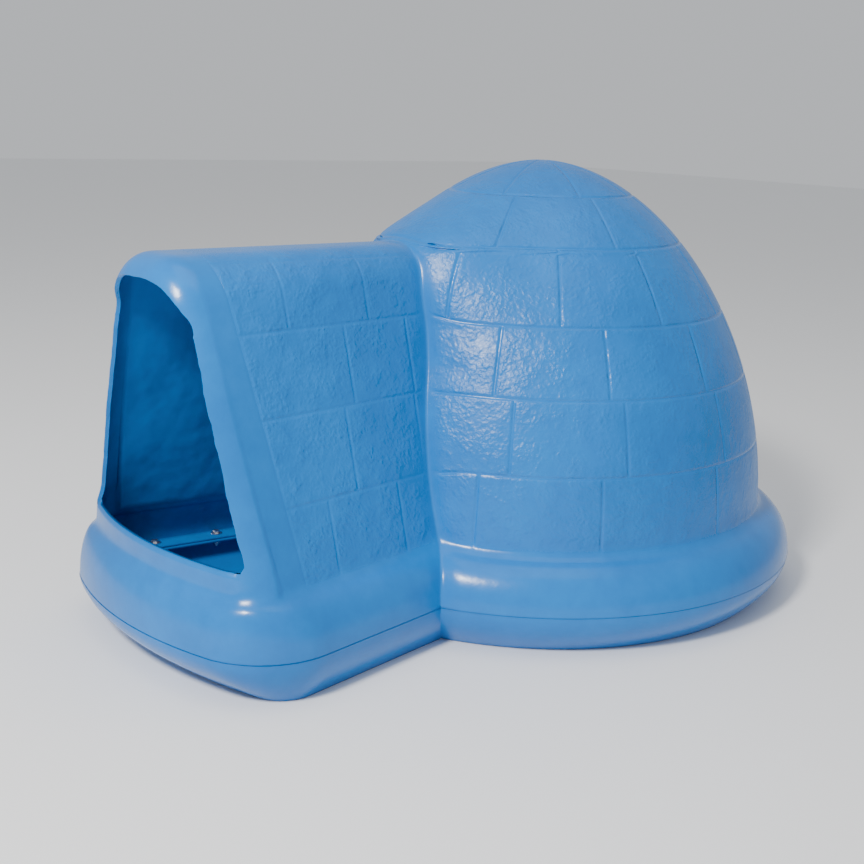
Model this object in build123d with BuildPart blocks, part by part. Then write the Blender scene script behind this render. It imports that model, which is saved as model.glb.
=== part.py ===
from build123d import *
from math import cos, sin, pi, sqrt, hypot
import os

os.makedirs("parts", exist_ok=True)

# ------------------------------------------------------------------
# Igloo-shaped shelter, rotationally moulded in polyethylene.
# Frame: +Z up, ground at z = 0, doorway facing -Y, origin at the centre
# of the footprint's box on the ground. Millimetres.
# ------------------------------------------------------------------

WALL = 6.0              # moulded wall

# dome, a body of revolution standing on the bumper ring
DOME_R = 400.0          # radius of the dome wall where it meets the bumper
DOME_TOP = 692.0        # apex
DOME_P = 1.836          # profile exponents: r = R (1 - s^p)^(1/q)
DOME_Q = 1.876
CREASE_Z = 136.0        # top of the bumper on the dome
BUMP_OUT = 57.0         # how far the bumper stands out of the dome wall
SPLIT_Z = 66.0          # the joint between the two mouldings
BASE_IN = 43.0          # how far the foot draws in below the joint

# entrance tunnel, an A-shaped vault with a rounded ridge
TUN_FRONT = 708.0       # dome axis to the tunnel's front corners
TUN_BOW = 46.0          # bulge of the front in plan
TUN_W_FRONT = 229.0     # half width at the bumper's top, at the front
TUN_W_BACK = 130.0      # the same, at the dome axis
TUN_R_FRONT = 82.0      # half width where flank and ridge would meet
TUN_R_BACK = 36.0
TUN_TOP = 563.0         # ridge height
TUN_ARCH = 78.0         # radius between flank and ridge at the front
TUN_ARCH_BACK = 38.0    # the same, at the dome axis
TUN_ROUND = 45.0        # round-over between flank and front
TUN_CREASE_Z = 140.0    # top of the bumper on the tunnel
TUN_BUMP_SIDE = 44.0
TUN_BUMP_FRONT = 29.0
TUN_BUMP_CORNER = 122.0
TUN_IN_SIDE = 27.0
TUN_IN_FRONT = 60.0
TUN_FOOT_CORNER = 52.0

# doorway cut in the tunnel's front
DOOR_SILL = 178.0
DOOR_TOP = 525.0
DOOR_W_SILL = 200.0
DOOR_W_TOP = 84.0
DOOR_CORNER = 65.0
DOOR_FOOT_CORNER = 10.0

# flanges turned in at the joint, and their fasteners
FLANGE_T = 5.0
FLANGE_W = 30.0
FLOOR_RAISE = 8.0       # the floor panel stands clear of the ground
FOOT_RING = 60.0        # width of the ring that the shelter stands on
BOLT_R = 3.0
HOLE_R = 3.5
HEAD_AF = 10.0
HEAD_H = 4.0
NUT_H = 5.0
WASHER_R = 9.0
WASHER_T = 1.6
BOLT_END = 4.0          # thread showing below the nut

# ground outline: front of the bumper to the back of the dome's bumper
FRONT_REACH = TUN_FRONT + TUN_BOW + TUN_BUMP_FRONT
BACK_REACH = DOME_R + BUMP_OUT
DOME_Y = (FRONT_REACH - BACK_REACH) / 2
YF = DOME_Y - TUN_FRONT


def dome_profile(inset, steps=14):
    """Points of the dome wall from the crease to the apex, inset along the normal."""
    pts = []
    for i in range(steps + 1):
        a = pi / 2 * i / steps
        s = sin(a) ** (2 / DOME_P) if i else 0.0
        r = DOME_R * max(1 - s ** DOME_P, 0.0) ** (1 / DOME_Q)
        pts.append((r, CREASE_Z + (DOME_TOP - CREASE_Z) * s))
    out = []
    for i, (r, z) in enumerate(pts):
        if i == 0:
            out.append((r - inset, z - inset))
        elif i == steps:
            out.append((0.0, z - inset))
        else:
            dr, dz = pts[i + 1][0] - pts[i - 1][0], pts[i + 1][1] - pts[i - 1][1]
            n = hypot(dr, dz)
            out.append((r - inset * dz / n, z + inset * dr / n))
    return out


def bump(u, reach, height):
    """The bumper's upper quarter: reach and height above the joint at angle u."""
    return reach * cos(u), height * sin(u)


def foot(k, reach, draw):
    """The foot below the joint: reach at height fraction k of the joint's height."""
    return reach - draw * (1 - sin(k * pi / 2))


def axis_plane():
    return Plane(origin=(0, DOME_Y, 0), x_dir=(1, 0, 0), z_dir=(0, -1, 0))


def half_width(front, back, y):
    """Linear taper of the tunnel from its front corners back to the dome axis."""
    return front + (back - front) * (y - YF) / (DOME_Y - YF)


def plan_points(out_side, out_front):
    hf = TUN_W_FRONT + out_side
    hb = TUN_W_BACK + out_side
    return hf, hb, YF - out_front


DOME_AXIS = Axis((0, DOME_Y, 0), (0, 0, 1))
BUMP_STEPS = [0, pi / 8, pi / 4, 3 * pi / 8, pi / 2]


# ---------------------------------------------------------------- forms
# The outside and the inside of the upper moulding are made as two closed
# forms with the same construction, the inside one a wall thinner.

def tunnel_sections(inset, y):
    """Corner points of the vault's section at y: foot, shoulder, height."""
    w0 = half_width(TUN_W_FRONT, TUN_W_BACK, y)
    w1 = half_width(TUN_R_FRONT, TUN_R_BACK, y)
    slope = (w0 - w1) / (TUN_TOP - TUN_CREASE_Z)
    side = inset * sqrt(1 + slope * slope)
    top = TUN_TOP - inset
    w_foot = w0 - side + slope * (TUN_CREASE_Z - SPLIT_Z)
    w_top = w1 - side + slope * inset
    return w_foot, w_top, top


def front_arc(y_front):
    """End and middle points of the bowed front at half width 300."""
    r = (TUN_W_FRONT ** 2 + TUN_BOW ** 2) / (2 * TUN_BOW)
    yc = y_front - TUN_BOW + r
    return yc - sqrt(r * r - 300.0 ** 2), y_front - TUN_BOW


with BuildPart() as dome_outer:
    with BuildSketch(axis_plane()):
        with BuildLine():
            low = [(DOME_R + bump(u, BUMP_OUT, 0)[0],
                    SPLIT_Z + bump(u, 0, CREASE_Z - SPLIT_Z)[1]) for u in BUMP_STEPS]
            Line((0, SPLIT_Z), low[0])
            Spline(low, tangents=[(0, 1), (-1, 0)])
            Spline(dome_profile(0), tangents=[(0, 1), (-1, 0)])
            Line((0, DOME_TOP), (0, SPLIT_Z))
        make_face()
    revolve(axis=DOME_AXIS)

with BuildPart() as dome_inner:
    with BuildSketch(axis_plane()):
        with BuildLine():
            low = [(DOME_R - WALL + bump(u, BUMP_OUT, 0)[0],
                    SPLIT_Z + bump(u, 0, CREASE_Z - WALL - SPLIT_Z)[1]) for u in BUMP_STEPS]
            Line((0, SPLIT_Z), low[0])
            Spline(low, tangents=[(0, 1), (-1, 0)])
            Spline(dome_profile(WALL), tangents=[(0, 1), (-1, 0)])
            Line((0, DOME_TOP - WALL), (0, SPLIT_Z))
        make_face()
    revolve(axis=DOME_AXIS)

# vault, outside
with BuildPart() as vault_outer:
    for y in (YF - 60, DOME_Y):
        wf, wt, zt = tunnel_sections(0, y)
        with BuildSketch(Plane(origin=(0, y, 0), x_dir=(1, 0, 0), z_dir=(0, -1, 0))) as sec:
            with BuildLine():
                Polyline((-wf, SPLIT_Z), (wf, SPLIT_Z), (wt, zt), (-wt, zt), close=True)
            make_face()
            fillet(sec.vertices().group_by(Axis.Y)[-1], TUN_ARCH if y < DOME_Y else TUN_ARCH_BACK)
    loft()
    y_end, y_mid = front_arc(YF)
    with BuildSketch(Plane.XY):
        with BuildLine():
            ThreePointArc((-300, y_end), (0, y_mid), (300, y_end))
            Polyline((300, y_end), (300, DOME_Y), (-300, DOME_Y), (-300, y_end))
        make_face()
    extrude(amount=DOME_TOP, mode=Mode.INTERSECT)
    front = vault_outer.faces().sort_by(Axis.Y)[0]
    rim = front.edges().filter_by(lambda e: e.center().Z > SPLIT_Z + 1)
    fillet(rim, TUN_ROUND)

# vault, inside
with BuildPart() as vault_inner:
    for y in (YF - 60, DOME_Y):
        wf, wt, zt = tunnel_sections(WALL, y)
        with BuildSketch(Plane(origin=(0, y, 0), x_dir=(1, 0, 0), z_dir=(0, -1, 0))) as sec:
            with BuildLine():
                Polyline((-wf, SPLIT_Z), (wf, SPLIT_Z), (wt, zt), (-wt, zt), close=True)
            make_face()
            fillet(sec.vertices().group_by(Axis.Y)[-1],
                   (TUN_ARCH if y < DOME_Y else TUN_ARCH_BACK) - WALL)
    loft()
    y_end, y_mid = front_arc(YF + WALL)
    with BuildSketch(Plane.XY):
        with BuildLine():
            ThreePointArc((-300, y_end), (0, y_mid), (300, y_end))
            Polyline((300, y_end), (300, DOME_Y), (-300, DOME_Y), (-300, y_end))
        make_face()
    extrude(amount=DOME_TOP, mode=Mode.INTERSECT)
    front = vault_inner.faces().sort_by(Axis.Y)[0]
    rim = front.edges().filter_by(lambda e: e.center().Z > SPLIT_Z + 1)
    fillet(rim, TUN_ROUND - WALL)


# ------------------------------------------------ plan outlines of the bumper
def outline_lines(out_side, out_front):
    """Lines of the tunnel's outline in plan, closed across the dome axis."""
    hf, hb, yfr = plan_points(out_side, out_front)
    Line((hb, DOME_Y), (hf, yfr))
    ThreePointArc((hf, yfr), (0, yfr - TUN_BOW), (-hf, yfr))
    Line((-hf, yfr), (-hb, DOME_Y))
    Line((-hb, DOME_Y), (hb, DOME_Y))


# bumper round the tunnel above the joint, outside and inside
with BuildPart() as bumper_outer:
    for u in BUMP_STEPS:
        reach, rise = bump(u, 1.0, TUN_CREASE_Z - SPLIT_Z)
        with BuildSketch(Plane.XY.offset(SPLIT_Z + rise)) as lay:
            with BuildLine():
                outline_lines(TUN_BUMP_SIDE * reach, TUN_BUMP_FRONT * reach)
            make_face()
            fillet(lay.vertices().group_by(Axis.Y)[0], TUN_BUMP_CORNER)
    loft()

with BuildPart() as bumper_inner:
    for u in BUMP_STEPS:
        reach, rise = bump(u, 1.0, TUN_CREASE_Z - WALL - SPLIT_Z)
        with BuildSketch(Plane.XY.offset(SPLIT_Z + rise)) as lay:
            with BuildLine():
                outline_lines(TUN_BUMP_SIDE * reach - WALL, TUN_BUMP_FRONT * reach - WALL)
            make_face()
            fillet(lay.vertices().group_by(Axis.Y)[0], TUN_BUMP_CORNER - WALL)
    loft()

# the same outlines below the joint, drawn in towards the foot
FOOT_STEPS = [0, 0.3, 0.6, 1.0]


def foot_corner(k):
    return TUN_FOOT_CORNER + (TUN_BUMP_CORNER - TUN_FOOT_CORNER) * sin(k * pi / 2)


with BuildPart() as foot_outer:
    for k in FOOT_STEPS:
        with BuildSketch(Plane.XY.offset(SPLIT_Z * k)) as lay:
            with BuildLine():
                outline_lines(foot(k, TUN_BUMP_SIDE, TUN_IN_SIDE),
                              foot(k, TUN_BUMP_FRONT, TUN_IN_FRONT))
            make_face()
            fillet(lay.vertices().group_by(Axis.Y)[0], foot_corner(k))
    loft()

with BuildPart() as foot_inner:
    for k in FOOT_STEPS:
        with BuildSketch(Plane.XY.offset(WALL + (SPLIT_Z - WALL) * k)) as lay:
            with BuildLine():
                outline_lines(foot(k, TUN_BUMP_SIDE, TUN_IN_SIDE) - WALL,
                              foot(k, TUN_BUMP_FRONT, TUN_IN_FRONT) - WALL)
            make_face()
            fillet(lay.vertices().group_by(Axis.Y)[0], foot_corner(k) - WALL)
    loft()

with BuildPart() as dome_foot_outer:
    with BuildSketch(axis_plane()):
        with BuildLine():
            pts = [(DOME_R + foot(k, BUMP_OUT, BASE_IN), SPLIT_Z * k) for k in FOOT_STEPS]
            Line((0, 0), pts[0])
            Spline(pts)
            Line(pts[-1], (0, SPLIT_Z))
            Line((0, SPLIT_Z), (0, 0))
        make_face()
    revolve(axis=DOME_AXIS)

with BuildPart() as dome_foot_inner:
    with BuildSketch(axis_plane()):
        with BuildLine():
            pts = [(DOME_R - WALL + foot(k, BUMP_OUT, BASE_IN),
                    WALL + (SPLIT_Z - WALL) * k) for k in FOOT_STEPS]
            Line((0, WALL), pts[0])
            Spline(pts)
            Line(pts[-1], (0, SPLIT_Z))
            Line((0, SPLIT_Z), (0, WALL))
        make_face()
    revolve(axis=DOME_AXIS)

# ------------------------------------------------------- fastener places
BOLT_RING = DOME_R + BUMP_OUT - WALL - FLANGE_W / 2 + 1
BOLT_SIDE = TUN_BUMP_SIDE - WALL - FLANGE_W / 2 + 1
bolt_places = []
for deg in (-130, -104, -78, -52, -26, 0, 26, 52, 78, 104, 130):
    a = deg * pi / 180
    bolt_places.append((BOLT_RING * sin(a), DOME_Y + BOLT_RING * cos(a)))
for y in (YF + 110, YF + 215):
    w = half_width(TUN_W_FRONT, TUN_W_BACK, y) + BOLT_SIDE
    bolt_places += [(w, y), (-w, y)]
y_front_bolt = YF - TUN_BUMP_FRONT + WALL + FLANGE_W / 2 - 1
for x in (-135, -45, 45, 135):
    r = (TUN_W_FRONT ** 2 + TUN_BOW ** 2) / (2 * TUN_BOW)
    bolt_places.append((x, y_front_bolt - TUN_BOW + r - sqrt(r * r - x * x)))


# flange ring in plan, shared by both mouldings
with BuildSketch(Plane.XY) as tunnel_rim:
    with BuildLine():
        outline_lines(TUN_BUMP_SIDE - 2, TUN_BUMP_FRONT - 2)
    make_face()
    fillet(tunnel_rim.vertices().group_by(Axis.Y)[0], TUN_BUMP_CORNER - 2)
with BuildSketch(Plane.XY) as tunnel_bore:
    with BuildLine():
        outline_lines(TUN_BUMP_SIDE - WALL - FLANGE_W, TUN_BUMP_FRONT - WALL - FLANGE_W)
    make_face()
    fillet(tunnel_bore.vertices().group_by(Axis.Y)[0], TUN_BUMP_CORNER - WALL - FLANGE_W)
with BuildSketch(Plane.XY) as flange_ring:
    add(tunnel_rim.sketch)
    with Locations((0, DOME_Y)):
        Circle(DOME_R + BUMP_OUT - 2)
    add(tunnel_bore.sketch, mode=Mode.SUBTRACT)
    with Locations((0, DOME_Y)):
        Circle(DOME_R + BUMP_OUT - WALL - FLANGE_W, mode=Mode.SUBTRACT)
    with Locations(*bolt_places):
        Circle(HOLE_R, mode=Mode.SUBTRACT)

# raised floor panel in plan
with BuildSketch(Plane.XY) as tunnel_floor:
    with BuildLine():
        outline_lines(TUN_BUMP_SIDE - TUN_IN_SIDE - FOOT_RING,
                      TUN_BUMP_FRONT - TUN_IN_FRONT - FOOT_RING)
    make_face()
    fillet(tunnel_floor.vertices().group_by(Axis.Y)[0], 30)
with BuildSketch(Plane.XY) as floor_panel:
    add(tunnel_floor.sketch)
    with Locations((0, DOME_Y)):
        Circle(DOME_R + BUMP_OUT - BASE_IN - FOOT_RING)

# ------------------------------------------------------------ upper moulding
with BuildPart() as upper_shell:
    add(dome_outer.part)
    add(vault_outer.part)
    add(bumper_outer.part)
    add(dome_inner.part, mode=Mode.SUBTRACT)
    add(vault_inner.part, mode=Mode.SUBTRACT)
    add(bumper_inner.part, mode=Mode.SUBTRACT)
    # doorway, cut straight back through the tunnel's front
    with BuildSketch(Plane(origin=(0, YF + 60, 0), x_dir=(1, 0, 0), z_dir=(0, -1, 0))) as door:
        with BuildLine():
            Polyline((-DOOR_W_SILL, DOOR_SILL), (DOOR_W_SILL, DOOR_SILL),
                     (DOOR_W_TOP, DOOR_TOP), (-DOOR_W_TOP, DOOR_TOP), close=True)
        make_face()
        fillet(door.vertices().group_by(Axis.Y)[-1], DOOR_CORNER)
        fillet(door.vertices().group_by(Axis.Y)[0], DOOR_FOOT_CORNER)
    extrude(amount=200, mode=Mode.SUBTRACT)
    # flange turned in at the joint, with its bolt holes
    with BuildSketch(Plane.XY.offset(SPLIT_Z)):
        add(flange_ring.sketch)
    extrude(amount=FLANGE_T)

# ------------------------------------------------------------- base moulding
with BuildPart() as base_pan:
    add(dome_foot_outer.part)
    add(foot_outer.part)
    add(dome_foot_inner.part, mode=Mode.SUBTRACT)
    add(foot_inner.part, mode=Mode.SUBTRACT)
    # floor panel raised inside the foot ring
    with BuildSketch(Plane.XY.offset(WALL - 1)):
        add(floor_panel.sketch)
    extrude(amount=FLOOR_RAISE + 1)
    with BuildSketch(Plane.XY):
        add(floor_panel.sketch)
        offset(amount=-WALL, mode=Mode.REPLACE)
    extrude(amount=FLOOR_RAISE, mode=Mode.SUBTRACT)
    # flange that the upper moulding's flange is bolted to
    with BuildSketch(Plane.XY.offset(SPLIT_Z - FLANGE_T)):
        add(flange_ring.sketch)
    extrude(amount=FLANGE_T)

# ----------------------------------------------------------------- fasteners
HEAD_Z = SPLIT_Z + FLANGE_T + WASHER_T
NUT_Z = SPLIT_Z - FLANGE_T - WASHER_T - NUT_H

with BuildPart() as flange_bolts:
    with BuildSketch(Plane.XY.offset(HEAD_Z)):
        with Locations(*bolt_places):
            RegularPolygon(HEAD_AF / 2, 6, major_radius=False)
    extrude(amount=HEAD_H)
    with BuildSketch(Plane.XY.offset(NUT_Z - BOLT_END)):
        with Locations(*bolt_places):
            Circle(BOLT_R)
    extrude(amount=HEAD_Z - NUT_Z + BOLT_END)

with BuildPart() as flange_washers:
    for z in (SPLIT_Z + FLANGE_T, SPLIT_Z - FLANGE_T - WASHER_T):
        with BuildSketch(Plane.XY.offset(z)):
            with Locations(*bolt_places):
                Circle(WASHER_R)
                Circle(BOLT_R + 0.2, mode=Mode.SUBTRACT)
        extrude(amount=WASHER_T)

with BuildPart() as flange_nuts:
    with BuildSketch(Plane.XY.offset(NUT_Z)):
        with Locations(*bolt_places):
            RegularPolygon(HEAD_AF / 2, 6, major_radius=False)
            Circle(BOLT_R, mode=Mode.SUBTRACT)
    extrude(amount=NUT_H)

# -------------------------------------------------------------------- export
upper_shell.part.label = "upper_shell"
base_pan.part.label = "base_pan"
flange_bolts.part.label = "flange_bolts"
flange_washers.part.label = "flange_washers"
flange_nuts.part.label = "flange_nuts"

export_step(upper_shell.part, "parts/upper_shell.step")
export_step(base_pan.part, "parts/base_pan.step")
export_step(flange_bolts.part, "parts/flange_bolts.step")
export_step(flange_washers.part, "parts/flange_washers.step")
export_step(flange_nuts.part, "parts/flange_nuts.step")

print("upper shell", len(upper_shell.solids()), upper_shell.part.bounding_box())
print("base pan", len(base_pan.solids()), base_pan.part.bounding_box())
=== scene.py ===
import bpy
import math
import numpy as np
from mathutils import Matrix


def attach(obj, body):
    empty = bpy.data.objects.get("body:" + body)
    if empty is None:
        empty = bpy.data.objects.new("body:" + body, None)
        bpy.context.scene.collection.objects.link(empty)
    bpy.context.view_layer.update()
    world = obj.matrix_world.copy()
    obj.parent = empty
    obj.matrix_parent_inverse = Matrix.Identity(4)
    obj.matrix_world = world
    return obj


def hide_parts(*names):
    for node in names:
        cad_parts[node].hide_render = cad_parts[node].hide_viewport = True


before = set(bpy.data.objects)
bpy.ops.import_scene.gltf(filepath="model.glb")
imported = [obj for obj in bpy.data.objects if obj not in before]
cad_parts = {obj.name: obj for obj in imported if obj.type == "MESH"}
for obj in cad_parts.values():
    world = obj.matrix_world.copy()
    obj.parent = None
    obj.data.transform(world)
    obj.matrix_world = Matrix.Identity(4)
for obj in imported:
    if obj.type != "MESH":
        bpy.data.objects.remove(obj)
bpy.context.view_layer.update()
scene = bpy.context.scene

# ---------------------------------------------------------------- camera
cam_data = bpy.data.cameras.new("camera")
cam = bpy.data.objects.new("camera", cam_data)
scene.collection.objects.link(cam)
cam_data.sensor_width = 36.0
cam_data.lens = 1249.68 / 864.0 * 36.0
cam_data.shift_x = -0.00084
cam_data.shift_y = -0.01366
cam_data.clip_start = 0.05
cam_data.clip_end = 60.0
R = (0.65613455, 0.75365495, 0.03862211)
U = (-0.20489308, 0.12865664, 0.97029186)
B = (0.72629627, -0.64455542, 0.23883475)
C = (1.47723, -1.36996, 0.76072)
cam.matrix_world = Matrix(((R[0], U[0], B[0], C[0]),
                           (R[1], U[1], B[1], C[1]),
                           (R[2], U[2], B[2], C[2]),
                           (0, 0, 0, 1)))
scene.camera = cam

# ------------------------------------------------- dimensions, millimetres
# y is counted from the dome's axis here, and DY moves it to the row frame
DY = 163.0
WALL = 6.0
R0, TOP, ZB, PP, QQ = 400.0, 692.0, 136.0, 1.836, 1.876
BUMP, ZP, FOOT = 57.0, 66.0, 43.0
YF, BOW = -708.0, 46.0
W0F, W0B, W1F, W1B = 229.0, 130.0, 82.0, 36.0
H, ARF, ARB, RF, ZT = 563.0, 78.0, 38.0, 45.0, 140.0
BS, BF, RB = 44.0, 29.0, 122.0
TS, TF, RB0 = 27.0, 60.0, 52.0
SILL, DTOP, DWS, DWT, DCR = 178.0, 535.0, 200.0, 84.0, 80.0
FL_T, FL_W = 5.0, 30.0

# grooves of the block pattern: height on the tunnel, height on the dome
GROOVES = [(246.0, 253.3), (360.0, 361.6), (469.0, 461.5)]
RING2, RING1 = 568.9, 641.3
GW, GD = 4.4, 0.75          # groove half width and depth
JOINTS = {6: (34.0, 61.0, 92.5, 121.5, 151.0), 5: (12.0, 40.6, 67.0, 96.4, 124.5, 152.5),
          4: (35.6, 63.4, 93.0, 121.8, 150.5), 3: (20.6, 51.5, 82.5, 113.5, 144.5, 175.0),
          2: (30.0, 74.5, 119.0, 164.0), 1: (22.0, 67.5, 112.5, 157.5)}
TJOINTS = {0: (-560.3, -425.3), 1: (-502.7, -365.0), 2: (-481.8, -362.0), 3: (-578.8, -432.0)}


def smooth(t):
    t = np.clip(t, 0.0, 1.0)
    return t * t * (3 - 2 * t)


def dome_r(z):
    s = np.clip((np.asarray(z, float) - ZB) / (TOP - ZB), 0, 1)
    return R0 * np.power(np.maximum(1 - s ** PP, 0), 1 / QQ)


# meridian length of the dome wall, from the crease to the apex
_a = np.linspace(0, 1, 4000)
_zz = ZB + (TOP - ZB) * np.sin(_a * np.pi / 2) ** 1.15
_zz[-1] = TOP
_rr = dome_r(_zz)
_L = np.concatenate([[0], np.cumsum(np.hypot(np.diff(_zz), np.diff(_rr)))])


# the tunnel's roof runs into the dome over a broad fairing
FZ = (395.0, 450.0, 490.0, 517.0, 540.0, 563.0, 580.0, 600.0, 620.0, 641.0, 660.0, 675.0, 692.0)
FV = (0.0, 17.0, 43.0, 58.0, 68.0, 78.0, 69.0, 50.0, 32.0, 16.0, 6.0, 1.0, 0.0)
FPHI = math.radians(48.0)


def fairing(z, phi):
    t = np.clip(np.abs(phi) / FPHI, 0, 1)
    return np.interp(z, FZ, FV) * (0.5 + 0.5 * np.cos(t * np.pi))


def len_of(z):
    return np.interp(z, _zz, _L)


def z_of(l):
    return np.interp(l, _L, _zz)


def taper(f, b, y):
    return f + (b - f) * (y - YF) / (0.0 - YF)


# ------------------------------------------------ rows of the tunnel's section
OFFS = (-6.2, -4.6, -3.2, -2.0, -1.0, 0.0, 1.0, 2.0, 3.2, 4.6, 6.2)


def build_rows():
    """Paired heights: on the tunnel's flank and on the dome, with a groove tag."""
    rows = [(ZT, ZB, 0.0)]
    knots = [(ZT, ZB)] + GROOVES + [(500.0, 490.0)]
    for i, (a, b) in enumerate(zip(knots[:-1], knots[1:])):
        lo = 0.0 if i == 0 else 6.2
        hi = 6.2 if i < len(GROOVES) else 0.0
        n = int(round((b[0] - a[0] - lo - hi) / 6.0))
        for k in range(1, n):
            f = k / n
            rows.append((a[0] + lo + (b[0] - a[0] - lo - hi) * f,
                         a[1] + lo + (b[1] - a[1] - lo - hi) * f, 99.0))
        if i < len(GROOVES):
            for o in OFFS:
                rows.append((b[0] + o, b[1] + o, o))
        else:
            rows.append((b[0], b[1], 99.0))
    # the row nearest the sill is moved to the sill's own height after this returns
    return rows


ROWS = build_rows()
zv = np.array([r[0] for r in ROWS])
zd = np.array([r[1] for r in ROWS])
KS = int(np.argmin(abs(zv - SILL)))
zv[KS] = SILL
NU = 26                     # rows over the arch, up to the ridge line
NF = len(zv)                # rows on the flank
NR = NF + NU
Z_TOPROW = 560.0


def section(y):
    """x, z of every row of the vault's section at y."""
    w0, w1, ar = taper(W0F, W0B, y), taper(W1F, W1B, y), taper(ARF, ARB, y)
    d = np.array([w1 - w0, H - ZT])
    d /= np.linalg.norm(d)
    turn = math.pi - math.atan2(d[1], d[0])
    tl = ar * math.tan(turn / 2)
    st = np.array([w1, H]) - d * tl
    nrm = np.array([-d[1], d[0]])
    c = st + nrm * ar
    a0 = math.atan2(st[1] - c[1], st[0] - c[0])
    xf = w0 + (w1 - w0) * (zv - ZT) / (H - ZT)
    top = [np.array([xf[-1], zv[-1]])]
    for k in range(1, 6):
        top.append(top[0] + (st - top[0]) * k / 5)
    for k in range(1, 25):
        a = a0 + (math.pi / 2 - a0) * k / 24
        top.append(c + ar * np.array([math.cos(a), math.sin(a)]))
    if top[-1][0] > 0:
        for k in range(1, 6):
            top.append(np.array([top[-1][0] * (1 - k / 5) if k < 5 else 0.0, H]))
    top = np.array(top)
    keep = top[:, 0] >= -1e-6
    top = top[keep]
    top[-1, 0] = 0.0
    # a slight crown along the ridge
    top[:, 1] += 5.0 * np.clip(1 - (top[:, 0] / max(w1, 1)) ** 2, 0, 1) * smooth((top[:, 1] - 500) / 60)
    l = np.concatenate([[0], np.cumsum(np.hypot(*np.diff(top, axis=0).T))])
    u = np.linspace(0, l[-1], NU + 1)[1:]
    return (np.concatenate([xf, np.interp(u, l, top[:, 0])]),
            np.concatenate([zv, np.interp(u, l, top[:, 1])]))


YS = np.linspace(-790.0, -60.0, 300)
SEC = [section(y) for y in YS]
SX = np.array([s[0] for s in SEC])      # [y, row]
SZ = np.array([s[1] for s in SEC])


def sec_at(i, y):
    return np.interp(y, YS, SX[:, i]), np.interp(y, YS, SZ[:, i])


# junction of vault and dome, row by row
PJ = []
for i in range(NR):
    a, b = -470.0, -80.0
    for _ in range(50):
        m = (a + b) / 2
        x, z = sec_at(i, m)
        r = float(dome_r(z)) + float(fairing(z, math.atan2(x, -m)))
        if x * x + m * m > r * r:
            a = m
        else:
            b = m
    x, z = sec_at(i, (a + b) / 2)
    PJ.append((float(x), (a + b) / 2, float(z)))
PJ = np.array(PJ)


def groove(d):
    """Depth factor at distance d from a groove's centre line."""
    return 0.5 + 0.5 * np.cos(np.clip(np.abs(d) / GW, 0, 1) * np.pi)


def place(n, length, centres, sigma, extra, start_extra=0):
    """n positions in 0..length, denser near the centres."""
    t = np.linspace(0, length, 3000)
    left = max(n - extra * len(centres) - start_extra, 8)
    w = np.full_like(t, left / length)
    for c in centres:
        if -2 * sigma < c < length + 2 * sigma:
            w += extra * np.exp(-((t - c) / sigma) ** 2) / (sigma * math.sqrt(math.pi))
    if start_extra:
        w += start_extra * 2 * np.exp(-(t / 16.0) ** 2) / (16.0 * math.sqrt(math.pi))
    c = np.concatenate([[0], np.cumsum((w[1:] + w[:-1]) / 2)])
    return np.interp(np.linspace(0, c[-1], n), c, t)


ND = 210

# --------------------------------------------------------- dome rows, half
dome_z = list(Z_TOPROW * 0 + zd)
for k in range(NU):
    dome_z.append(490.0 + (Z_TOPROW - 490.0) * (k + 1) / NU)
dome_L = list(len_of(np.array(dome_z)))
# heights above the tunnel
l2, l1 = float(len_of(RING2)), float(len_of(RING1))
Lend = float(_L[-1])
up = []
start = dome_L[-1]
up += [l2 + o for o in OFFS if l2 + o > start + 0.6]
n = int(round((l1 - 6.2 - (l2 + 6.2)) / 6.0))
up += list(np.linspace(l2 + 6.2, l1 - 6.2, n + 1)[1:-1])
up += [l1 + o for o in OFFS]
n = int(round((Lend - l1 - 6.2) / 5.5))
up += list(np.linspace(l1 + 6.2, Lend, n + 1)[1:])
NUP = len(up)
dome_L = np.array(dome_L + up)
NDR = len(dome_L)
ring_L = [float(len_of(g[1])) for g in GROOVES] + [l2, l1]


def course(l):
    """Course number, 6 at the bottom to 1 at the top."""
    return 6 - sum(l > r for r in ring_L)


def dome_row(i):
    """Azimuths and lengths of the dome's row i, from the tunnel round to the back."""
    L0 = dome_L[i]
    if i < NR:
        x, y, z = PJ[i]
        th0 = math.atan2(x, -y)
        Lp = float(len_of(z))
    else:
        th0, Lp = 0.0, L0
        # the rows over the ridge's end rise with its crown
        lift = float(len_of(PJ[-1][2])) - dome_L[NR - 1]
        Lp = L0 + lift * max(0.0, 1 - (L0 - dome_L[NR - 1]) / 60.0)
    r = max(float(dome_r(z_of(L0))), 2.0)
    span = (math.pi - th0) * r

    def pos(c):
        js = [math.radians(a) for a in JOINTS[c]]
        cs = [(a - th0) * r for a in js if a > th0 - 0.02]
        return place(ND, span, cs, max(5.0, 0.012 * r), 9, 14 if i < NR else 0)
    # blend the spacing across a ring
    near = min(ring_L, key=lambda q: abs(q - L0))
    if abs(L0 - near) < 6.5:
        t = smooth((L0 - near) / 10.0 + 0.5)
        p = pos(course(near - 1)) * (1 - t) + pos(course(near + 1)) * t
    else:
        p = pos(course(L0))
    th = th0 + p / r
    L = L0 + (Lp - L0) * np.exp(-(p / 38.0) ** 2)
    return th, L


verts = []          # outer skin, one side; x >= 0
tags = []           # groove depth, texture mask


def ring_depth(l_nom):
    return max(float(groove(l_nom - r)) for r in ring_L)


def joint_depth(c, th, r, table=JOINTS):
    d = np.zeros_like(th)
    for a in table[c]:
        d = np.maximum(d, groove((th - math.radians(a)) * r))
    return d


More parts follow.
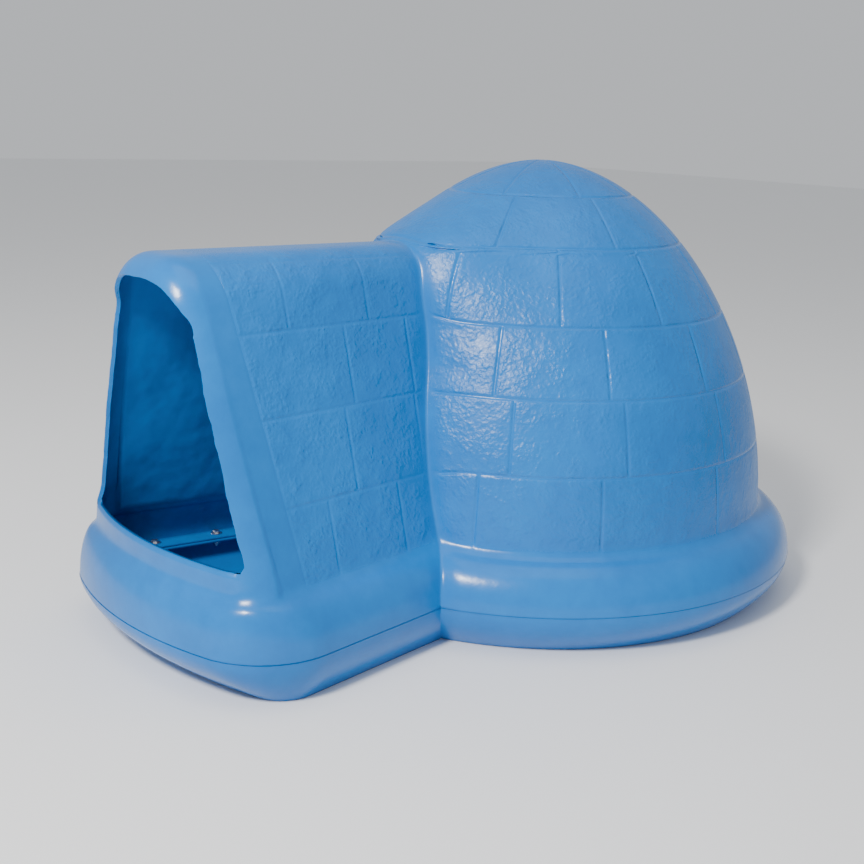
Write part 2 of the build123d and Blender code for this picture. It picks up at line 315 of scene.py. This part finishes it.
DG, DM = [], []
DP = []
for i in range(NDR):
    th, L = dome_row(i)
    z = z_of(L)
    r = dome_r(z) + fairing(z, th)
    if i == NDR - 1:
        r = r * 0 + 0.0
        z = z * 0 + TOP
    DP.append(np.stack([r * np.sin(th), -r * np.cos(th), z], -1))
    rn = max(float(dome_r(z_of(dome_L[i]))), 1.0)
    g = np.full(ND, ring_depth(dome_L[i]))
    near = min(ring_L, key=lambda q: abs(q - dome_L[i]))
    jd = joint_depth(course(dome_L[i]), th, rn)
    g = np.maximum(g, jd)
    fade = smooth((dome_L[i] - 4.0) / 10.0)
    fade *= smooth((Lend - dome_L[i]) / 16.0) * 0.45 + 0.55
    DG.append(g * fade)
    DM.append(np.full(ND, float(smooth((dome_L[i] - 6.0) / 12.0))))
DP = np.array(DP)
DG = np.array(DG)
DM = np.array(DM)
# texture stops a little before the tunnel
for i in range(NR):
    dist = np.linalg.norm(DP[i] - PJ[i], axis=1)
    DM[i] *= smooth((dist - 6) / 22.0)
    DG[i] *= smooth((dist - 3) / 14.0)

# --------------------------------------------------------- vault rows, half
NV1, NV2, NFC, NCC = 96, 26, 24, 26
VP, VG, VM = [], [], []


def y_front(x):
    return YF - BOW * (1 - (np.asarray(x) / W0F) ** 2)


def panel_y(z):
    return -621.5 - 0.125 * (z - 140.0)


def door_outline(corner):
    """Door edge in x, z from the sill up to the middle of the arch."""
    a, b = np.array([DWS, SILL]), np.array([DWT, DTOP])
    d = (b - a) / np.linalg.norm(b - a)
    turn = math.pi - math.atan2(d[1], d[0])
    tl = DCR * math.tan(turn / 2)
    st = b - d * tl
    nrm = np.array([-d[1], d[0]])
    c = st + nrm * DCR
    a0 = math.atan2(st[1] - c[1], st[0] - c[0])
    pts = [a + (st - a) * k / 40 for k in range(41)]
    for k in range(1, 25):
        q = a0 + (math.pi / 2 - a0) * k / 24
        pts.append(c + DCR * np.array([math.cos(q), math.sin(q)]))
    x0 = pts[-1][0]
    for k in range(1, 7):
        pts.append(np.array([x0 * (1 - k / 6), DTOP]))
    pts = np.array(pts)
    # slight crown in the arch, and the rounded foot of the opening
    pts[:, 1] += 3.0 * np.clip(1 - (pts[:, 0] / 84.0) ** 2, 0, 1) * smooth((pts[:, 1] - 470) / 50)
    k = pts[:, 1] < SILL + corner
    pts[k, 0] -= corner - np.sqrt(np.maximum(corner ** 2 - (SILL + corner - pts[k, 1]) ** 2, 0))
    return pts


def saw(l, seed):
    """Unsteady saw cut: a few sines and small nicks."""
    v = 0.0
    rs = np.random.RandomState(seed)
    for w, a in ((140, 0.5), (61, 0.3), (33, 0.18), (17, 0.14), (9, 0.1), (5.5, 0.08)):
        v = v + a * np.sin(l / w * 2 * np.pi + rs.rand() * 6.28)
    return v


def vault(side):
    corner = 5.0 if side > 0 else 26.0
    do = door_outline(corner)
    dl = np.concatenate([[0], np.cumsum(np.hypot(*np.diff(do, axis=0).T))])
    l470 = float(np.interp(470.0, do[:, 1][:50], dl[:50]))
    P, G, M = [], [], []
    sx_f, sz_f = sec_at_all(YF)
    # section outline length above z 470 at the front
    k470 = int(np.argmin(abs(zv - 469.0)))
    sl = np.concatenate([[0], np.cumsum(np.hypot(np.diff(sx_f[k470:]), np.diff(sz_f[k470:])))])
    for i in range(NR):
        y0 = PJ[i][1]
        xs, zs = float(sx_f[i]), float(sz_f[i])
        y_end = float(y_front(xs)) + RF
        yp = min(panel_y(zs), 1e9)
        yp = max(yp, y_end + 7)
        # course on the tunnel
        c = sum(zs > g[0] for g in GROOVES) if i < NF else 3
        n1 = y0 - yp
        near = [k for k, g in enumerate(GROOVES) if abs(zs - g[0]) < 6.5]

        def pos(cc):
            cs = [y0 - y for y in TJOINTS[cc]]
            return place(NV1, n1, cs + [n1], 5.0, 9, 12)
        if near and i < NF:
            t = float(smooth((zs - GROOVES[near[0]][0]) / 10.0 + 0.5))
            p = pos(near[0]) * (1 - t) + pos(near[0] + 1) * t
        else:
            p = pos(c)
        ya = y0 - p
        q = place(NV2, yp - y_end, [0.0], 5.0, 6)
        yb = yp - q
        yy = np.concatenate([ya, yb[1:]])
        x = np.array([sec_at(i, y)[0] for y in yy])
        z = np.array([sec_at(i, y)[1] for y in yy])
        pts = np.stack([x, yy, z], -1)
        # grooves on the panel
        inside = (yy > yp - 0.01)
        g = np.zeros(len(yy))
        if i < NF:
            rd = max([float(groove(zs - gg[0])) for gg in GROOVES])
        else:
            rd = 0.0
            rd = max(rd, float(groove((i - NF - TOPG) * row_gap)))
        jd = np.zeros(len(yy))
        for y in TJOINTS[c]:
            jd = np.maximum(jd, groove(yy - y))
        if i > NF + TOPG + 1:
            jd = jd * 0
        g = np.maximum(rd, jd) * inside
        g = np.maximum(g, 0.8 * groove(yy - yp) * (1.0 if i <= NF + TOPG else float(smooth(1 - (i - NF - TOPG) / 3.0))))
        g *= float(smooth((zs - ZT - 3.0) / 9.0))
        dist = np.abs(y0 - yy)
        g *= smooth((dist - 3) / 14.0) * 0.6
        m = inside * smooth((dist - 6) / 22.0) * float(smooth((zs - ZT - 4) / 10.0))
        if i > NF + TOPG:
            m = m * max(0.0, 1 - (i - NF - TOPG) / 4.0) * 0.7 + 0.3 * m
        # round-over and face, out to the door's edge
        if i <= KS:
            dx, dz = None, None
            ax, az = float(do[0][0]), zs
            if i == KS:
                ax, az = float(do[0][0]), SILL
        else:
            if i <= k470:
                lq = float(np.interp(zs, do[:, 1][:50], dl[:50]))
            else:
                f = sl[i - k470] / sl[-1]
                lq = l470 + f * (dl[-1] - l470)
            ax = float(np.interp(lq, dl, do[:, 0]))
            az = float(np.interp(lq, dl, do[:, 1]))
            nx, nz = (az - np.interp(lq - 4, dl, do[:, 1])), -(ax - np.interp(lq - 4, dl, do[:, 0]))
            nn = math.hypot(nx, nz) or 1.0
            s = float(saw(lq, 11 if side > 0 else 23)) * float(smooth((lq - 4) / 20.0)) * float(smooth((dl[-1] - lq) / 12.0))
            ax += nx / nn * s
            az += nz / nn * s
        tt = np.linspace(0, 1, NFC + 1)[1:] ** 1.15
        xf = xs + (ax - xs) * tt
        zf = zs + (az - zs) * tt
        e = np.hypot(xf - xs, zf - zs)
        if i <= KS:
            xc = ax * (1 - np.linspace(0, 1, NCC + 1)[1:])
            xf = np.concatenate([xf, xc])
            zf = np.concatenate([zf, np.full(NCC, az)])
            e = np.concatenate([e, np.full(NCC, 1e3)])
            e = np.minimum(np.hypot(xs - xf, 0), 1e3)
        s = np.clip((RF - e) / RF, 0, 1)
        yfa = y_front(xf) + RF - np.sqrt(np.maximum(RF * RF - (RF * s) ** 2, 0))
        fp = np.stack([xf, yfa, zf], -1)
        P.append(np.concatenate([pts, fp]))
        z0 = np.zeros(len(fp))
        G.append(np.concatenate([g, z0]))
        M.append(np.concatenate([m, z0]))
    return P, G, M


def sec_at_all(y):
    return (np.array([np.interp(y, YS, SX[:, i]) for i in range(NR)]),
            np.array([np.interp(y, YS, SZ[:, i]) for i in range(NR)]))


TOPG = 13               # row of the groove under the ridge, above the flank
_sx, _sz = sec_at_all(-600.0)
row_gap = float(np.hypot(_sx[NF + 4] - _sx[NF + 3], _sz[NF + 4] - _sz[NF + 3]))


# --------------------------------------------------- outlines of the bumper
def outline(os_, of_, rc, rd, n_line=60, n_arc=40, n_front=50):
    """Tunnel outline in plan from the dome to the middle of the front."""
    m = (W0B - W0F) / (0.0 - YF)

    def w(y):
        return taper(W0F, W0B, y) + os_
    a, b = -470.0, -80.0
    for _ in range(50):
        q = (a + b) / 2
        if w(q) ** 2 + q * q > rd * rd:
            a = q
        else:
            b = q
    p = np.array([w((a + b) / 2), (a + b) / 2])
    k = math.sqrt(1 + m * m)

    def front(x):
        return YF - of_ - BOW + BOW * x * x / W0F ** 2
    lo, hi = 0.0, 330.0
    for _ in range(50):
        x = (lo + hi) / 2
        s = 2 * BOW * x / W0F ** 2
        r = math.sqrt(1 + s * s)
        yc = front(x) + rc / r
        if x - rc * s / r > w(yc) - rc * k:
            hi = x
        else:
            lo = x
    s = 2 * BOW * x / W0F ** 2
    r = math.sqrt(1 + s * s)
    c = np.array([x - rc * s / r, front(x) + rc / r])
    a0 = math.atan2(-m, 1)
    a1 = math.atan2(-1, s)
    arc = np.array([c + rc * np.array([math.cos(q), math.sin(q)]) for q in np.linspace(a0, a1, n_arc)])
    line = np.array([p + (arc[0] - p) * q for q in np.linspace(0, 1, n_line)[:-1]])
    xf = np.linspace(arc[-1][0], 0, n_front)[1:]
    fr = np.stack([xf, front(xf)], -1)
    pts = np.concatenate([line, arc, fr])
    l = np.concatenate([[0], np.cumsum(np.hypot(*np.diff(pts, axis=0).T))])
    return pts, l / l[-1], p


def contour(os_, of_, rc, rd, z_dome, z_tun, th0, t0, thP0):
    """One closed-off half row: dome part from the back to the tunnel, then the tunnel."""
    pts, l, p = outline(os_, of_, rc, rd)
    thP = math.atan2(p[0], -p[1])
    th = math.pi - (math.pi - th0) * (math.pi - thP) / (math.pi - thP0)
    d = np.stack([rd * np.sin(th), -rd * np.cos(th), np.broadcast_to(z_dome, th.shape)], -1)
    t = np.stack([np.interp(t0, l, pts[:, 0]), np.interp(t0, l, pts[:, 1]),
                  np.broadcast_to(z_tun, t0.shape)], -1)
    return d, t


# ------------------------------------------------------------ mesh assembly
class Builder:
    def __init__(self):
        self.v, self.g, self.m, self.keep = [], [], [], []
        self.f = []
        self.n = 0

    def add(self, pts, g, m):
        i = self.n
        self.v.append(np.asarray(pts, float))
        self.g.append(np.broadcast_to(g, (len(pts),)).astype(float))
        self.m.append(np.broadcast_to(m, (len(pts),)).astype(float))
        self.n += len(pts)
        return np.arange(i, self.n)

    def strip(self, a, b, flip):
        """Quads between two rows of the same length."""
        n = min(len(a), len(b))
        a, b = a[:n], b[:n]
        q = np.stack([a[:-1], a[1:], b[1:], b[:-1]], -1)
        if flip:
            q = q[:, ::-1]
        self.f.append(q)


def normals(V, F):
    a, b, c, d = (V[F[:, k]] for k in range(4))
    n = np.cross(c - a, d - b)
    N = np.zeros_like(V)
    for k in range(4):
        np.add.at(N, F[:, k], n)
    l = np.linalg.norm(N, axis=1, keepdims=True)
    return N / np.maximum(l, 1e-12)


def build_side(side):
    """Outer skin of one half, in y counted from the dome axis; rows run from the
    back of the dome, round to the tunnel and on to the middle of the front."""
    P, G, M = vault(side)
    bd = Builder()
    rows = []
    flip = side > 0
    # row index -> vertices: dome reversed (back first), then vault
    for i in range(NDR):
        dp, dg, dm = DP[i][::-1], DG[i][::-1], DM[i][::-1]
        if i < NR:
            pts = np.concatenate([dp[:-1], P[i]])
            g = np.concatenate([dg[:-1], G[i]])
            m = np.concatenate([dm[:-1], M[i]])
        else:
            pts, g, m = dp, dg, dm
        rows.append(bd.add(pts, g, m))
    for i in range(NDR - 1):
        a, b = rows[i], rows[i + 1]
        if i < NR - 1:
            bd.strip(a, b, not flip)
        else:
            bd.strip(a[:ND], b[:ND], not flip)
    return bd, rows, P


def to_mesh(name, V, quads, polys=(), g=None, m=None):
    V = np.asarray(V) * 0.001
    V = V + np.array([0, DY * 0.001, 0])
    faces = [tuple(int(k) for k in q) for q in quads] + [tuple(int(k) for k in q) for q in polys]
    me = bpy.data.meshes.new(name)
    me.from_pydata([tuple(p) for p in V], [], faces)
    if g is not None:
        at = me.attributes.new("groove", "FLOAT", "POINT")
        at.data.foreach_set("value", np.asarray(g, np.float32))
        at = me.attributes.new("panel", "FLOAT", "POINT")
        at.data.foreach_set("value", np.asarray(m, np.float32))
    me.update()
    ob = bpy.data.objects.new(name, me)
    scene.collection.objects.link(ob)
    return ob


def tidy(ob, dist=2e-5):
    import bmesh
    bm = bmesh.new()
    bm.from_mesh(ob.data)
    bmesh.ops.remove_doubles(bm, verts=bm.verts, dist=dist)
    bmesh.ops.dissolve_degenerate(bm, edges=bm.edges, dist=1e-6)
    loose = [v for v in bm.verts if not v.link_faces]
    bmesh.ops.delete(bm, geom=loose, context="VERTS")
    bmesh.ops.recalc_face_normals(bm, faces=bm.faces)
    bm.to_mesh(ob.data)
    bm.free()
    ob.data.polygons.foreach_set("use_smooth", [True] * len(ob.data.polygons))
    ob.data.update()


BU = np.radians([90, 84, 77, 70, 63, 56, 49, 42, 35, 28, 21, 14, 7, 2.5, 0])   # bumper rows above the joint
FK = [1.0, 0.985, 0.95, 0.88, 0.8, 0.7, 0.6, 0.5, 0.4, 0.3, 0.2, 0.1, 0.04, 0.0]   # foot rows below it


def make_half(side):
    bd, rows, P = build_side(side)
    flip = side > 0
    crease = rows[0]
    V0 = np.concatenate(bd.v)
    c0 = V0[crease]
    dpart = c0[:ND]
    th0 = np.arctan2(dpart[:, 0], -dpart[:, 1])
    th0[0] = math.pi
    thP0 = float(th0[-1])
    tpart = c0[ND - 1:]
    l = np.concatenate([[0], np.cumsum(np.linalg.norm(np.diff(tpart[:, :2], axis=0), axis=1))])
    t0 = l / l[-1]
    brow = [crease]
    prev = crease
    for u in BU[1:]:
        cu, su = math.cos(u), math.sin(u)
        d, t = contour(BS * cu, BF * cu, RF + (RB - RF) * cu, R0 + BUMP * cu,
                       ZP + (dpart[:, 2] - ZP) * su, ZP + (tpart[:, 2] - ZP) * su, th0, t0, thP0)
        if u == 0:
            # a trace of flash at the joint
            d[:, :2] *= 1 + 0.5 / 457
        pts = np.concatenate([d[:-1], t])
        r = bd.add(pts, 0.0, 0.0)
        bd.strip(r, prev, not flip)
        brow.append(r)
        prev = r
    V = np.concatenate(bd.v)
    F = np.concatenate(bd.f)
    g, m = np.concatenate(bd.g), np.concatenate(bd.m)
    return V, F, g, m, rows, brow, th0, t0, thP0


def relax(V, F, w, it):
    """Laplacian smoothing with a weight per vertex."""
    E = np.concatenate([F[:, [0, 1]], F[:, [1, 2]], F[:, [2, 3]], F[:, [3, 0]]])
    E = np.unique(np.sort(E, axis=1), axis=0)
    deg = np.zeros(len(V))
    np.add.at(deg, E[:, 0], 1)
    np.add.at(deg, E[:, 1], 1)
    act = w > 1e-3
    for _ in range(it):
        S = np.zeros_like(V)
        np.add.at(S, E[:, 0], V[E[:, 1]])
        np.add.at(S, E[:, 1], V[E[:, 0]])
        avg = S / np.maximum(deg, 1)[:, None]
        V = V + (avg - V) * (w * act)[:, None]
    return V


def dist_to(V, line, reach):
    d = np.full(len(V), 1e9)
    lo, hi = line.min(0) - reach, line.max(0) + reach
    k = np.all((V > lo) & (V < hi), axis=1)
    idx = np.where(k)[0]
    for s in range(0, len(idx), 4000):
        q = idx[s:s + 4000]
        d[q] = np.sqrt(((V[q][:, None] - line[None]) ** 2).sum(-1)).min(1)
    return d


def finish_half(side):
    V, F, g, m, rows, brow, th0, t0, thP0 = make_half(side)
    n = len(V)
    # join line between vault and dome carried down over the bumper
    seam = np.array([V[r[ND - 1]] for r in rows[:NR]] + [V[r[ND - 1]] for r in brow[1:]])
    dj = dist_to(V, seam, 40)
    crease = V[rows[0]]
    dc = dist_to(V, crease, 30)
    w = np.maximum(np.exp(-(dj / 15.0) ** 2), 0.9 * np.exp(-(dc / 7.0) ** 2))
    # the middle plane, the door's edge and the joint stay put
    fixed = np.zeros(n, bool)
    fixed[brow[-1]] = True
    for i, r in enumerate(rows):
        if KS <= i < NR:
            fixed[r[len(r) - 1 if i > KS else ND - 1 + NV1 + NV2 - 1 + NFC:]] = True
    w[fixed] = 0
    w[V[:, 2] < ZP + 6] *= 0.3
    mid = np.abs(V[:, 0]) < 1e-6
    V1 = relax(V, F, w * 0.55, 26)
    V1[mid, 0] = 0.0
    V = V1
    return V, F, g, m, rows, brow, th0, t0, thP0


def carve(V, F, g, side):
    N = normals(V, F)
    c = N[:, 2].mean()
    # outward check against the dome's centre
    out = ((V - np.array([0, -100, 250])) * N).sum(1).mean()
    if out < 0:
        N = -N
    mid = np.abs(V[:, 0]) < 1e-6
    N[mid, 0] = 0
    N /= np.maximum(np.linalg.norm(N, axis=1, keepdims=True), 1e-9)
    return V - N * (g * GD)[:, None], N


uV, uF, uG, uM = [], [], [], []
bV, bF, bG, bM = [], [], [], []
un = bn = 0
floor_in, floor_out = {}, {}
for side in (1, -1):
    V, F, g, m, rows, brow, th0, t0, thP0 = finish_half(side)
    Vo, N = carve(V, F, g, side)
    # inner skin
    off = np.full(len(V), WALL)
    Vi = V - N * off[:, None]
    # the door is cut straight back
    for i, r in enumerate(rows):
        if KS <= i < NR:
            k = r[-1] if i > KS else None
            if k is not None:
                Vi[k] = V[k] + np.array([0, WALL + 1.5, 0])
    for k in rows[KS][ND - 1 + NV1 + NV2 - 1 + NFC:]:
        Vi[k] = V[k] + np.array([0, WALL + 1.5, 0])
    mid = np.abs(V[:, 0]) < 1e-6
    Vi[mid, 0] = 0.0
    last = brow[-1]
    Vi[last, 2] = ZP + FL_T
    for r in (brow[-2],):
        Vi[r, 2] = np.maximum(Vi[r, 2], ZP + FL_T + 0.8)
    allV = [Vo, Vi]
    nV = len(V)
    faces = [F, F[:, ::-1] + nV]
    # door rim and the sill's edge
    col = []
    for i in range(KS, NR):
        r = rows[i]
        col.append(r[-1] if i > KS else r[ND - 1 + NV1 + NV2 - 1 + NFC])
    col = np.array(col)
    sill = rows[KS][ND - 1 + NV1 + NV2 - 1 + NFC:]
    for line in (col, sill):
        faces.append(np.stack([line[:-1], line[1:], line[1:] + nV, line[:-1] + nV], -1))
    # flange, from the inner skin at the joint
    d, t = contour(BS - WALL - FL_W, BF - WALL - FL_W, RB - WALL - FL_W, R0 + BUMP - WALL - FL_W,
                   ZP + FL_T, ZP + FL_T, th0, t0, thP0)
    fl = np.concatenate([d[:-1], t])
    fl2 = fl.copy()
    fl2[:, 2] = ZP
    n3, n4 = 2 * nV, 2 * nV + len(fl)
    allV += [fl, fl2]
    k = np.arange(len(fl))
    li = last + nV
    faces.append(np.stack([li[:-1], li[1:], k[1:] + n3, k[:-1] + n3], -1))
    faces.append(np.stack([k[:-1] + n3, k[1:] + n3, k[1:] + n4, k[:-1] + n4], -1))
    faces.append(np.stack([k[:-1] + n4, k[1:] + n4, last[1:], last[:-1]], -1))
    VV = np.concatenate(allV)
    if side < 0:
        VV = VV * [-1, 1, 1]
    FF = np.concatenate(faces)
    # drop the quads over the doorway: none are made there
    uV.append(VV)
    uF.append(FF + un)
    gg = np.concatenate([g, np.zeros(nV + 2 * len(fl))])
    mm = np.concatenate([m, np.full(nV, -1.0), np.full(2 * len(fl), -1.0)])
    uG.append(gg)
    uM.append(mm)
    un += len(VV)

    # ------------------------------------------------------ base moulding
    lines = []

    def ring(os_, of_, rc, rd, z):
        d, t = contour(os_, of_, rc, rd, z, z, th0, t0, thP0)
        lines.append(np.concatenate([d[:-1], t]))

    def foot_ring(k, inset, z):
        s = 1 - math.sin(k * math.pi / 2)
        ring(BS - TS * s - inset, BF - TF * s - inset, RB0 + (RB - RB0) * (1 - s) - inset,
             R0 + BUMP - FOOT * s - inset, z)
    for j, kk in enumerate(FK):
        foot_ring(kk, 0.0 if j else -0.6, ZP * kk if j != 1 else ZP * kk)
    # rounded edge to the ground, the standing ring, and the raised panel's edge
    lines[-1] = lines[-1]
    foot_ring(0.0, 3.0, 0.0)
    foot_ring(0.0, 59.0, 0.0)
    foot_ring(0.0, 63.0, 2.0)
    foot_ring(0.0, 67.0, 8.0)
    n_under = len(lines)
    # inside, from the flange's top
    top = []
    keep = lines
    lines = []
    foot_ring(1.0, WALL + FL_W, ZP)
    foot_ring(1.0, WALL + FL_W, ZP - FL_T)
    foot_ring(1.0, WALL, ZP - FL_T)
    for kk in (0.8, 0.6, 0.4, 0.2, 0.05):
        foot_ring(kk, WALL, WALL + (ZP - WALL) * kk)
    foot_ring(0.0, WALL + 2, WALL)
    foot_ring(0.0, 56.0, WALL)
    foot_ring(0.0, 60.0, 12.0)
    foot_ring(0.0, 63.0, 14.0)
    inner = lines
    lines = keep
    full = lines[::-1] + inner       # from under the panel, out and up, over the rim, down inside
    base = bn
    idx = []
    for ln in full:
        if side < 0:
            ln = ln * [-1, 1, 1]
        bV.append(ln)
        idx.append(np.arange(bn, bn + len(ln)))
        bn += len(ln)
    for a, b in zip(idx[:-1], idx[1:]):
        bF.append(np.stack([a[:-1], a[1:], b[1:], b[:-1]], -1))
    floor_out[side] = idx[0]
    floor_in[side] = idx[-1]

upper = to_mesh("upper_shell_skin", np.concatenate(uV), np.concatenate(uF), (),
                np.concatenate(uG), np.concatenate(uM))
tidy(upper)
polys = []
for fd in (floor_out, floor_in):
    polys.append(list(fd[1]) + list(fd[-1][::-1])[1:-1])
bVV = np.concatenate(bV)
lower = to_mesh("base_pan_skin", bVV, np.concatenate(bF), polys, np.zeros(len(bVV)), np.full(len(bVV), 0.0))
tidy(lower)

# ------------------------------------------------------------- materials
def nodes_of(name):
    mat = bpy.data.materials.new(name)
    mat.use_nodes = True
    nt = mat.node_tree
    nt.nodes.clear()
    return mat, nt


def poly_material(name):
    mat, nt = nodes_of(name)
    N, Lk = nt.nodes, nt.links
    out = N.new("ShaderNodeOutputMaterial")
    bs = N.new("ShaderNodeBsdfPrincipled")
    Lk.new(bs.outputs[0], out.inputs[0])
    tc = N.new("ShaderNodeTexCoord")
    gr = N.new("ShaderNodeAttribute")
    gr.attribute_name = "groove"
    pn = N.new("ShaderNodeAttribute")
    pn.attribute_name = "panel"

    def math_(op, a, b=None, c=None, clamp=False):
        n = N.new("ShaderNodeMath")
        n.operation = op
        n.use_clamp = clamp
        for k, v in enumerate((a, b, c)):
            if v is None:
                continue
            if isinstance(v, (int, float)):
                n.inputs[k].default_value = v
            else:
                Lk.new(v, n.inputs[k])
        return n.outputs[0]

    def noise(scale, detail=2.0, rough=0.5, vec=None, dist=0.0):
        n = N.new("ShaderNodeTexNoise")
        n.inputs["Scale"].default_value = scale
        n.inputs["Detail"].default_value = detail
        n.inputs["Roughness"].default_value = rough
        n.inputs["Distortion"].default_value = dist
        Lk.new(vec or tc.outputs["Object"], n.inputs["Vector"])
        return n.outputs["Fac"]

    def ramp(v, stops):
        n = N.new("ShaderNodeValToRGB")
        Lk.new(v, n.inputs[0])
        el = n.color_ramp.elements
        while len(el) > len(stops):
            el.remove(el[-1])
        while len(el) < len(stops):
            el.new(0.5)
        for e, (p, c) in zip(el, stops):
            e.position = p
            e.color = c if len(c) == 4 else (*c, 1)
        return n.outputs[0]

    outside = math_("GREATER_THAN", pn.outputs["Fac"], -0.5)
    panel = math_("MULTIPLY", math_("MAXIMUM", pn.outputs["Fac"], 0.0),
                  math_("SUBTRACT", 1.0, math_("MULTIPLY", gr.outputs["Fac"], 1.0, clamp=True)), clamp=True)
    # pigment: broad cloudiness and fine variation
    broad = noise(3.2, 3.0, 0.55)
    fine = noise(34.0, 4.0, 0.6)
    mix = math_("ADD", math_("MULTIPLY", broad, 0.7), math_("MULTIPLY", fine, 0.3))
    col = ramp(mix, [(0.32, (0.000, 0.135, 0.44)), (0.52, (0.000, 0.165, 0.52)), (0.72, (0.000, 0.200, 0.60))])
    Lk.new(col, bs.inputs["Base Color"])
    # finish: hammered panels, smoother grooves and bumper, dull smears
    smear = noise(9.0, 5.0, 0.65, dist=0.6)
    r0 = math_("MULTIPLY_ADD", smear, 0.14, 0.17)
    speck = noise(260.0, 2.0, 0.6)
    r1 = math_("MULTIPLY_ADD", math_("MULTIPLY", speck, panel), 0.22, r0)
    Lk.new(r1, bs.inputs["Roughness"])
    bs.inputs["IOR"].default_value = 1.5
    bs.inputs["Specular IOR Level"].default_value = 0.42
    bs.inputs["Subsurface Weight"].default_value = 0.0
    # bumps: hammered cells on the panels, faint orange peel everywhere
    v1 = N.new("ShaderNodeTexVoronoi")
    v1.feature = "SMOOTH_F1"
    v1.inputs["Scale"].default_value = 150.0
    v1.inputs["Smoothness"].default_value = 0.5
    v1.inputs["Randomness"].default_value = 1.0
    wob = N.new("ShaderNodeTexNoise")
    wob.inputs["Scale"].default_value = 60.0
    Lk.new(tc.outputs["Object"], wob.inputs["Vector"])
    wmix = N.new("ShaderNodeMix")
    wmix.data_type = "VECTOR"
    wmix.inputs["Factor"].default_value = 0.012
    Lk.new(tc.outputs["Object"], wmix.inputs["A"])
    Lk.new(wob.outputs["Color"], wmix.inputs["B"])
    Lk.new(wmix.outputs["Result"], v1.inputs["Vector"])
    n2 = noise(210.0, 3.0, 0.6)
    patch = ramp(noise(26.0, 3.0, 0.6), [(0.40, (0.25, 0.25, 0.25)), (0.62, (1, 1, 1))])
    h = math_("ADD", math_("MULTIPLY", v1.outputs["Distance"], 0.8), math_("MULTIPLY", n2, 0.9))
    h = math_("MULTIPLY", math_("MULTIPLY", h, patch), panel)
    peel = noise(95.0, 2.0, 0.5)
    h = math_("MULTIPLY_ADD", peel, 0.16, h)
    wavy = noise(14.0, 2.0, 0.5)
    inside = math_("SUBTRACT", 1.0, outside)
    h = math_("ADD", h, math_("MULTIPLY", math_("MULTIPLY", wavy, 5.0), inside))
    bp = N.new("ShaderNodeBump")
    bp.inputs["Strength"].default_value = 0.8
    bp.inputs["Distance"].default_value = 0.0016
    Lk.new(h, bp.inputs["Height"])
    Lk.new(bp.outputs[0], bs.inputs["Normal"])
    return mat


def steel_material(name):
    mat, nt = nodes_of(name)
    N, Lk = nt.nodes, nt.links
    out = N.new("ShaderNodeOutputMaterial")
    bs = N.new("ShaderNodeBsdfPrincipled")
    Lk.new(bs.outputs[0], out.inputs[0])
    bs.inputs["Base Color"].default_value = (0.62, 0.63, 0.65, 1)
    bs.inputs["Metallic"].default_value = 1.0
    tc = N.new("ShaderNodeTexCoord")
    n = N.new("ShaderNodeTexNoise")
    n.inputs["Scale"].default_value = 300.0
    Lk.new(tc.outputs["Object"], n.inputs["Vector"])
    m = N.new("ShaderNodeMath")
    m.operation = "MULTIPLY_ADD"
    m.inputs[1].default_value = 0.2
    m.inputs[2].default_value = 0.28
    Lk.new(n.outputs["Fac"], m.inputs[0])
    Lk.new(m.outputs[0], bs.inputs["Roughness"])
    return mat


blue = poly_material("blue_polyethylene")
steel = steel_material("zinc_plated_steel")
for ob in (upper, lower):
    ob.data.materials.clear()
    ob.data.materials.append(blue)
    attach(ob, "root")
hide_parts("upper_shell")
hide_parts("base_pan")
for nm in ("flange_bolts", "flange_washers", "flange_nuts"):
    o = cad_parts[nm]
    o.data.materials.clear()
    o.data.materials.append(steel)

# ----------------------------------------------------------- floor and light
fl_me = bpy.data.meshes.new("floor")
s = 14.0
fl_me.from_pydata([(-s, -s, 0), (s, -s, 0), (s, s, 0), (-s, s, 0)], [], [(0, 1, 2, 3)])
floor = bpy.data.objects.new("floor", fl_me)
scene.collection.objects.link(floor)
fm, nt = nodes_of("floor_pale")
out = nt.nodes.new("ShaderNodeOutputMaterial")
bs = nt.nodes.new("ShaderNodeBsdfPrincipled")
nt.links.new(bs.outputs[0], out.inputs[0])
bs.inputs["Base Color"].default_value = (0.88, 0.88, 0.88, 1)
bs.inputs["Roughness"].default_value = 0.85
fl_me.materials.append(fm)

world = bpy.data.worlds.new("world")
scene.world = world
world.use_nodes = True
bg = world.node_tree.nodes["Background"]
bg.inputs[0].default_value = (0.93, 0.96, 1.0, 1)
bg.inputs[1].default_value = 0.62


def area(name, az, el, dist, size, power, colour=(1, 1, 1), size_y=None, aim=(0, 0.05, 0.3)):
    """Light at azimuth az from -Y towards +X and elevation el, aimed at the object."""
    a, e = math.radians(az), math.radians(el)
    d = np.array([math.sin(a) * math.cos(e), -math.cos(a) * math.cos(e), math.sin(e)])
    ld = bpy.data.lights.new(name, "AREA")
    ld.shape = "RECTANGLE"
    ld.size = size
    ld.size_y = size_y or size
    ld.energy = power
    ld.color = colour
    ob = bpy.data.objects.new(name, ld)
    scene.collection.objects.link(ob)
    p = np.array(aim) + d * dist
    z = d
    x = np.cross((0, 0, 1), z)
    x /= np.linalg.norm(x)
    y = np.cross(z, x)
    ob.matrix_world = Matrix(((x[0], y[0], z[0], p[0]), (x[1], y[1], z[1], p[1]),
                              (x[2], y[2], z[2], p[2]), (0, 0, 0, 1)))
    return ob


area("key", 20, 38, 3.6, 0.55, 135, (1.0, 0.98, 0.95))
area("top", 60, 80, 3.4, 2.6, 22)
